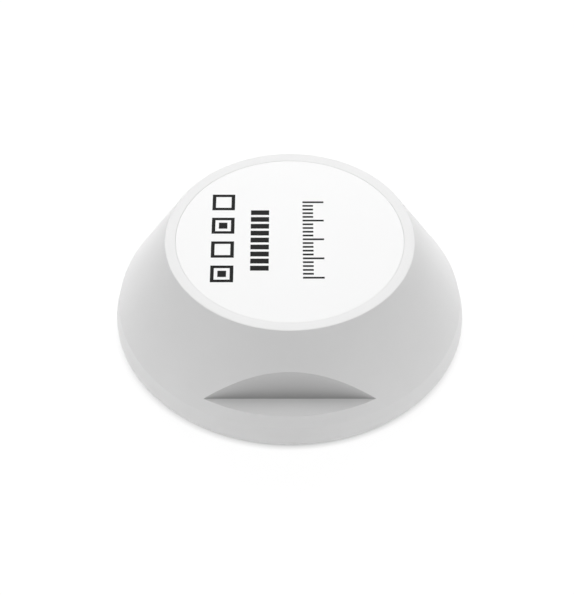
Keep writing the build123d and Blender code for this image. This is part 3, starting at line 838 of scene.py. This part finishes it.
def dress_antenna(board, ceramic):
    """Chip antenna: white ceramic with metal ends and a folded conductor printed on top."""
    dress(["chip_antenna"], ceramic)
    antenna = solids_of("chip_antenna")[0]
    add_two_ends(board, antenna, ANTENNA_CAP, ANTENNA_PAD_REACH)
    top = antenna.place @ Matrix.Translation((0, 0, antenna.high))
    span = antenna.long - 2 * ANTENNA_END_MARGIN
    swing = antenna.wide / 2 - ANTENNA_SIDE_MARGIN
    points = []
    for fold in range(ANTENNA_FOLDS + 1):
        x = (fold / ANTENNA_FOLDS - 0.5) * span
        y = swing if fold % 2 else -swing
        points += [top @ Vector((x, -y, 0)), top @ Vector((x, y, 0))]
    add_track(board["antenna"], points, ANTENNA_LINE, ANTENNA_LINE_RISE)


def dress_hall(board, epoxy, tin):
    """Hall sensor: moulded body on three tinned leads, each soldered to its pad."""
    hall = solids_of("hall_sensor", top=True)[0]
    inverse = hall.place.inverted()
    side = hall.wide / 2
    dress_faces(
        "hall_sensor",
        (epoxy, tin),
        lambda middle, normal: int(abs((inverse @ middle).y) > side + LEVEL_SLACK),
    )
    pad_x = [HALL_LEAD_REACH + reach for reach in HALL_PAD_X]
    pad_y = (-HALL_PAD_HALF, HALL_PAD_HALF)
    sides = (-HALL_SOLDER_HALF, HALL_SOLDER_HALF)
    for x, way in ((-HALL_PITCH, math.pi / 2), (HALL_PITCH, math.pi / 2), (0.0, -math.pi / 2)):
        place = hall.place @ Matrix.Translation((x, 0, 0)) @ Matrix.Rotation(way, 4, "Z")
        add_pad(board, place, pad_x, pad_y)
        add_solder(board["solder"], place, HALL_LEAD_REACH, HALL_SOLDER_REACH, sides, HALL_SOLDER_HEIGHT)
    gap_x, gap_y = HALL_BRACKET_GAPS
    add_brackets(board, hall.place, hall.long / 2 + gap_x, side + gap_y, HALL_BRACKET_ARM)


def dress_lamp(board, tray, lens):
    """Status lamp: white tray with a clear lens, between two plated ends."""
    lamp = solids_of("status_led")[0]
    lens_bottom = BOARD_TOP + LAMP_TRAY
    dress_faces("status_led", (tray, lens), lambda middle, normal: int(middle.z > lens_bottom + LEVEL_SLACK))
    add_two_ends(board, lamp._replace(high=LAMP_TRAY), LAMP_CAP, LAMP_PAD_REACH)
    mark_x = [lamp.long / 2 + reach for reach in LAMP_MARK_X]
    add_mark(board, lamp.place, mark_x, (-lamp.wide / 2, lamp.wide / 2))


def dress_bulk(board, moulding, bar_ink):
    """Bulk capacitor: moulded body with a bar at one end and a metal strip folded up each end."""
    dress(["bulk_capacitor"], moulding)
    bulk = solids_of("bulk_capacitor")[0]
    half, side = bulk.long / 2, bulk.wide / 2
    strip = BULK_STRIP_HALF * bulk.wide
    face = half + BULK_STRIP_THICK
    pad_x = [half + reach for reach in BULK_PAD_X]
    pad_y = (-strip - BULK_PAD_MARGIN, strip + BULK_PAD_MARGIN)
    climb = BULK_SOLDER_CLIMB * bulk.high
    for way in (0.0, math.pi):
        place = bulk.place @ Matrix.Rotation(way, 4, "Z")
        low = (half - END_SKIN, -strip, 0.0)
        add_box(board["ends"], place, low, (face, strip, BULK_STRIP_CLIMB * bulk.high), END_SOFT)
        add_pad(board, place, pad_x, pad_y)
        add_solder(board["solder"], place, face, BULK_SOLDER_REACH, (-strip, strip), climb)
    mark_x = [-half - reach for reach in BULK_MARK_X]
    add_mark(board, bulk.place, mark_x, (-side, side))
    bar_x = [-half - reach for reach in BULK_BAR_X]
    bar_y = side - BULK_BAR_MARGIN
    bar = bmesh.new()
    add_box(bar, bulk.place, (bar_x[0], -bar_y, bulk.high), (bar_x[1], bar_y, bulk.high + BULK_BAR_RISE))
    add_piece(bar, "bulk_capacitor_bar", bar_ink, "base")


def dress_small_parts(board, materials):
    """Ceramic capacitors, resistors and inductors, with their ends, pads, solder and tracks."""
    dress(["capacitors"], materials["capacitor"])
    dress(["inductors"], materials["ferrite"])
    resistor_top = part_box("resistors")[1].z
    dress_faces(
        "resistors",
        (materials["alumina"], materials["glaze"]),
        lambda middle, normal: int(middle.z > resistor_top - LEVEL_SLACK),
    )
    for name, cap in SMALL_CAPS:
        for solid in solids_of(name):
            add_two_ends(board, solid, cap, SMALL_PAD_REACH)
            if name != "inductors" and solid.radius > SMALL_RING:
                connect_small_part(board, solid)


def connect_small_part(board, solid):
    """Tracks of a part of the outer ring: one end to the ground ring, the other to a plated hole."""
    middle = solid.place.translation
    angle = math.degrees(math.atan2(middle.y, middle.x))
    turn = math.degrees((solid.long / 2 + SMALL_TRACK_GAP) / solid.radius)
    grounded = at(solid.radius, angle + turn, BOARD_TOP)
    signal = at(solid.radius, angle - turn, BOARD_TOP)
    hole = at(solid.radius - solid.wide / 2 - SMALL_VIA_GAP, angle - turn, BOARD_TOP)
    ground = at(GROUND_RADIUS, angle + turn, BOARD_TOP)
    add_track(board["tracks"], [grounded, ground], TRACK_WIDTH, TRACK_RISE)
    add_track(board["tracks"], [signal, hole], TRACK_WIDTH, TRACK_RISE)
    add_via(board, hole)


def make_tracks(board):
    """Ground ring, bundled tracks, aerial feed, supply and stray plated holes."""
    tracks = board["tracks"]
    for start, end in GROUND_ARCS:
        add_track(tracks, arc(GROUND_RADIUS, start, end), GROUND_WIDTH, TRACK_RISE)
        for angle in range(start + GROUND_VIA_FIRST, end, GROUND_VIA_STEP):
            add_via(board, at(GROUND_RADIUS, angle, BOARD_TOP))
    for radius, start, end in BUS_ARCS:
        points = arc(radius, start, end)
        add_track(tracks, points, TRACK_WIDTH, TRACK_RISE)
        add_via(board, points[0])
        add_via(board, points[-1])
    feed = arc(FEED_RADIUS, *FEED_ANGLES) + [at(*FEED_END, BOARD_TOP)]
    add_track(tracks, feed, FEED_WIDTH, TRACK_RISE)
    add_via(board, feed[0])
    supply = arc(SUPPLY_RADIUS, *SUPPLY_ANGLES) + [at(*SUPPLY_END, BOARD_TOP)]
    add_track(tracks, supply, SUPPLY_WIDTH, TRACK_RISE)
    for x, y in STRAY_VIAS:
        add_via(board, Vector((x * MM, y * MM, BOARD_TOP)))


def make_test_pads(board):
    """Row of round test pads, each with a slanting track to a plated hole."""
    for index in range(TEST_PADS):
        pad = Vector((TEST_PAD_X, TEST_PAD_FIRST - index * TEST_PAD_PITCH, BOARD_TOP))
        slant = (TEST_TRACK_SLANTS + index) * TEST_TRACK_SLANT
        start = Vector((TEST_TRACK_START, pad.y + slant, BOARD_TOP))
        bend = start + Vector((TEST_TRACK_BEND, 0, 0))
        points = [start, bend, bend + Vector((slant, -slant, 0)), pad]
        add_track(board["tracks"], points, TRACK_WIDTH, TRACK_RISE)
        add_via(board, start)
        foot = pad - Vector((0, 0, BITE))
        add_disc(board["gold"], foot, TEST_PAD_RADIUS, BITE + PAD_RISE, sides=ROUND_PAD_SIDES)


def outline_cell(board):
    """Printed arcs round the coin cell's place."""
    axis = Vector((CELL_MIDDLE.x, CELL_MIDDLE.y, 0))
    for start, end in CELL_OUTLINE_ARCS:
        points = [axis + point for point in arc(CELL_OUTLINE_RADIUS, start, end)]
        add_track(board["silk"], points, SILK_LINE, SILK_RISE)


def seat_screws(board):
    """Round pads under the screws' heads."""
    for screw in solids_of("board_screws"):
        middle = screw.place.translation
        foot = Vector((middle.x, middle.y, BOARD_TOP - BITE))
        add_disc(board["pads"], foot, SCREW_PAD_RADIUS, BITE + PAD_RISE, sides=ROUND_PAD_SIDES)


def add_seat(board, place, end, half, seat):
    """Pad under a flat foot that ends at X = end, with solder along that end."""
    pad_y = (-half - seat.margin, half + seat.margin)
    add_pad(board, place, (end - seat.inwards, end + seat.outwards), pad_y)
    sides = (SEAT_SOLDER_INSET - half, half - SEAT_SOLDER_INSET)
    add_solder(board["solder"], place, end, seat.reach, sides, seat.height)


def seat_clip(board):
    """Seats of the clip's two feet, with solder along both sides of each as well."""
    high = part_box("battery_clip")[1]
    middle = (high.x + CLIP_FOOT_LEFT) / 2
    half = (high.x - CLIP_FOOT_LEFT) / 2
    sides = (-CLIP_FLANK_HALF, CLIP_FLANK_HALF)
    for way in (math.pi / 2, -math.pi / 2):
        place = standing((middle, 0, BOARD_TOP), way)
        add_seat(board, place, high.y, half, CLIP_SEAT)
        for side in (1, -1):
            turn = Matrix.Rotation(side * math.pi / 2, 4, "Z")
            flank = place @ Matrix.Translation((high.y - CLIP_FLANK_INWARDS, 0, 0)) @ turn
            add_solder(board["solder"], flank, half, CLIP_FLANK_REACH, sides, CLIP_FLANK_HEIGHT)


def seat_leaf(board):
    """Seats of the leaf's two ends."""
    low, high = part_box("negative_contact")
    for way in (0.0, math.pi):
        place = standing(((low.x + high.x) / 2, 0, BOARD_TOP), way)
        add_seat(board, place, (high.x - low.x) / 2, high.y, LEAF_SEAT)


def make_board(materials):
    """Everything soldered to the board or printed on it."""
    dress_faces(
        "circuit_board",
        (materials["laminate"], materials["mask"]),
        lambda middle, normal: int(abs(normal.z) > SQUARE_ON),
    )
    dress(["radio_chip"], materials["epoxy"])
    board = {layer: bmesh.new() for layer in BOARD_LAYERS}
    dress_chip(board)
    dress_crystal(board, "main_crystal", materials["tray"], materials["lid"])
    dress_crystal(board, "clock_crystal", materials["tray"], materials["lid"])
    dress_antenna(board, materials["alumina"])
    dress_hall(board, materials["epoxy"], materials["tin"])
    dress_lamp(board, materials["tray_white"], materials["lens"])
    dress_bulk(board, materials["bulk"], materials["bar"])
    dress_small_parts(board, materials)
    make_tracks(board)
    make_test_pads(board)
    outline_cell(board)
    seat_screws(board)
    seat_clip(board)
    seat_leaf(board)
    for layer, (name, material, slot) in BOARD_LAYERS.items():
        add_piece(board[layer], name, materials[material], "base")


def make_seal(rubber):
    """Round-cornered sealing ring in place of the plain one, with a fine mould line round its outside."""
    low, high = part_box("sealing_ring")
    outer = high.x
    inner = min(v.co.xy.length for v in frame["nodes"]["sealing_ring"].data.vertices)
    middle = Vector(((outer + inner) / 2, (low.z + high.z) / 2))
    half = Vector(((outer - inner) / 2, (high.z - low.z) / 2))
    shape = bmesh.new()
    rings = []
    for turn in range(SEAL_TURNS):
        angle = math.tau * turn / SEAL_TURNS
        ring = []
        for step in range(SEAL_SECTION):
            around = math.tau * step / SEAL_SECTION
            c, s = math.cos(around), math.sin(around)
            radius = middle.x + half.x * math.copysign(abs(c) ** SEAL_SQUARENESS, c)
            height = middle.y + half.y * math.copysign(abs(s) ** SEAL_SQUARENESS, s)
            if step:
                radius = min(radius, outer - SEAL_FLASH)
            ring.append(shape.verts.new((radius * math.cos(angle), radius * math.sin(angle), height)))
        rings.append(ring)
    for turn in range(SEAL_TURNS):
        near, far = rings[turn - 1], rings[turn]
        for step in range(SEAL_SECTION):
            shape.faces.new((near[step - 1], near[step], far[step], far[step - 1]))
    seal = add_piece(shape, "rounded_seal", rubber, "base")
    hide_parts("sealing_ring")


def make_cell_plus(metal):
    """Stamped plus on the positive face of the coin cell."""
    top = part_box("cell_can")[1].z
    place = Matrix.Translation((CELL_MIDDLE.x + PLUS_OFFSET, 0, top - BITE))
    shape = bmesh.new()
    half, line = PLUS_SIZE / 2, PLUS_LINE / 2
    rise = BITE + PLUS_RISE
    add_box(shape, place, (-half, -line, 0), (half, line, rise), PLUS_RISE)
    for way in (1, -1):
        y = sorted((way * line, way * half))
        add_box(shape, place, (-line, y[0], 0), (line, y[1], rise), PLUS_RISE)
    add_piece(shape, "cell_plus", metal, "coin_cell")


def shell_plastic(name, **corner):
    """White plastic of the shell, with shade painted into its corners where asked."""
    return surface(
        name, (0.87, 0.87, 0.87), 0.45, swing=0.01, relief_mm=0.0006, soft_edge_mm=0.05, **corner
    )


bpy.context.scene.view_settings.view_transform = "Standard"
make_camera()
make_world()
make_floor()

# Housing
# The notch's wall and ledge get copies of the white plastic with shade painted in; the wall, which faces
# away from the light, is shaded further up
shell_plastics = [
    shell_plastic("white_plastic"),
    shell_plastic("notch_wall_painted_shade", corner_reach_mm=7.0, corner_depth=0.9, corner_power=0.6),
    shell_plastic("notch_ledge_painted_shade", corner_reach_mm=2.0, corner_depth=0.5),
]
cover_plastic = surface(
    "cover_plastic", (0.82, 0.82, 0.81), 0.5,
    swing=0.012, grain_per_mm=6.0, relief_mm=0.0015, soft_edge_mm=0.08,
)
label_film = surface(
    "label_film", (0.955, 0.955, 0.955), 0.35,
    swing=0.005, grain_per_mm=2.0, relief_mm=0.0004,
)
print_ink = surface("print_ink", (0.018, 0.018, 0.018), 0.7, swing=0.1, grain_share=0.5, specular=0.08)
rubber = surface(
    "rubber", (0.022, 0.022, 0.024), 0.6,
    pattern=granules, swing=0.15, grain_share=0.3, relief_mm=0.002,
)

# Contacts, screws and coin cell
spring_steel = surface(
    "spring_steel", (0.60, 0.57, 0.50), 0.28,
    metallic=1.0, swing=0.2, grain_share=0.7, grain_per_mm=7.0, stretch=(1.0, 0.05, 0.05),
    relief_mm=0.0006, gloss_swing=0.09, soft_edge_mm=0.06, edge_wear_and_highlight=0.12,
)
can_steel = surface(
    "can_steel", (0.47, 0.47, 0.465), 0.26,
    metallic=1.0, pattern=turned_rings, swing=0.24, grain_share=0.75, grain_per_mm=7.0,
    relief_mm=0.0015, gloss_swing=0.1, soft_edge_mm=0.25,
)
cap_steel = surface(
    "cap_steel", (0.55, 0.55, 0.55), 0.3,
    metallic=1.0, pattern=turned_rings, swing=0.12, grain_share=0.6, grain_per_mm=5.0, gloss_swing=0.08,
)
stamped_steel = surface("stamped_steel", (0.3, 0.3, 0.3), 0.4, metallic=1.0, swing=0.1, grain_share=0.5)
screw_steel = surface(
    "screw_steel", (0.57, 0.59, 0.62), 0.3,
    metallic=1.0, swing=0.12, grain_share=0.4, patches_per_mm=0.9, grain_per_mm=12.0,
    soft_edge_mm=0.06, edge_wear_and_highlight=0.15,
)
anode_metal = surface(
    "anode_metal", (0.55, 0.55, 0.58), 0.45,
    metallic=1.0, swing=0.15, patches_per_mm=0.5, relief_mm=0.004,
)
gasket_plastic = surface("gasket_plastic", (0.16, 0.21, 0.28), 0.4, swing=0.06, clearness=0.25)
pellet = surface(
    "pellet", (0.035, 0.034, 0.035), 0.85,
    pattern=granules, swing=0.25, grain_share=0.6, relief_mm=0.01,
)
paper = surface(
    "paper", (0.82, 0.80, 0.74), 0.85,
    swing=0.08, grain_share=0.6, grain_per_mm=6.0, stretch=(1.0, 0.25, 1.0), relief_mm=0.004,
)

# Board and what is on it
board_materials = {
    "mask": surface(
        "mask", (0.012, 0.115, 0.048), 0.24,
        pattern=threads, swing=0.14, grain_share=0.5, grain_per_mm=2.2, relief_mm=0.0012,
    ),
    "masked_copper": surface("masked_copper", (0.045, 0.23, 0.10), 0.25, swing=0.08, soft_edge_mm=0.02),
    "laminate": surface(
        "laminate", (0.36, 0.34, 0.17), 0.6,
        swing=0.15, grain_share=0.6, grain_per_mm=4.0, stretch=(0.3, 0.3, 4.0), relief_mm=0.004,
    ),
    "tin": surface(
        "tin", (0.70, 0.70, 0.69), 0.32,
        metallic=1.0, swing=0.1, grain_share=0.4, patches_per_mm=1.5,
    ),
    "solder": surface("solder_metal", (0.64, 0.64, 0.65), 0.2, metallic=1.0, swing=0.12, patches_per_mm=2.5),
    "gold": surface("gold_plate", (0.83, 0.62, 0.27), 0.25, metallic=1.0, swing=0.08, patches_per_mm=1.2),
    "silver": surface("silver_print", (0.60, 0.58, 0.54), 0.4, metallic=1.0, swing=0.12, grain_share=0.5),
    "silk": surface("board_ink", (0.80, 0.80, 0.77), 0.6, swing=0.05, grain_share=0.5, relief_mm=0.002),
    "epoxy": surface(
        "epoxy", (0.022, 0.022, 0.023), 0.48,
        pattern=granules, swing=0.2, grain_share=0.5, grain_per_mm=14.0, relief_mm=0.002,
        soft_edge_mm=0.05,
    ),
    "tray": surface("crystal_tray", (0.11, 0.085, 0.06), 0.5, swing=0.1, grain_share=0.4, soft_edge_mm=0.03),
    "lid": surface(
        "crystal_lid", (0.68, 0.66, 0.60), 0.22,
        metallic=1.0, swing=0.1, grain_share=0.6, stretch=(1.0, 0.1, 1.0),
        soft_edge_mm=0.05, edge_wear_and_highlight=0.1,
    ),
    "alumina": surface(
        "alumina", (0.80, 0.79, 0.75), 0.42,
        pattern=granules, swing=0.05, grain_share=0.4, soft_edge_mm=0.04,
    ),
    "glaze": surface("resistor_glaze", (0.015, 0.015, 0.018), 0.2, swing=0.15, patches_per_mm=1.0),
    "capacitor": surface(
        "capacitor_ceramic", (0.42, 0.27, 0.155), 0.38,
        swing=0.12, grain_share=0.3, patches_per_mm=0.8, soft_edge_mm=0.04,
    ),
    "ferrite": surface(
        "ferrite", (0.065, 0.066, 0.07), 0.5,
        pattern=granules, swing=0.2, grain_share=0.6, relief_mm=0.004, soft_edge_mm=0.06,
    ),
    "tray_white": surface("lamp_tray", (0.78, 0.77, 0.70), 0.45, swing=0.05, soft_edge_mm=0.03),
    "lens": surface("lamp_lens", (0.86, 0.85, 0.70), 0.12, swing=0.03, clearness=0.6, soft_edge_mm=0.08),
    "bulk": surface(
        "bulk_moulding", (0.56, 0.37, 0.075), 0.42,
        swing=0.08, grain_share=0.4, relief_mm=0.003, soft_edge_mm=0.06,
    ),
    "bar": surface("bulk_bar_ink", (0.13, 0.06, 0.02), 0.5, swing=0.1, grain_share=0.5),
}

dress_faces("shell", shell_plastics, part_of_notch)
dress(["base_cover"], cover_plastic)
dress(["label"], label_film)
dress(["sealing_ring"], rubber)
dress(["battery_clip", "negative_contact"], spring_steel)
dress(["board_screws"], screw_steel)
dress(["cell_can"], can_steel)
dress(["cell_cap"], cap_steel)
dress(["cell_anode"], anode_metal)
dress(["cell_gasket"], gasket_plastic)
dress(["cell_cathode"], pellet)
dress(["cell_separator"], paper)
make_board(board_materials)
make_seal(rubber)
make_cell_plus(stamped_steel)
make_print(print_ink)
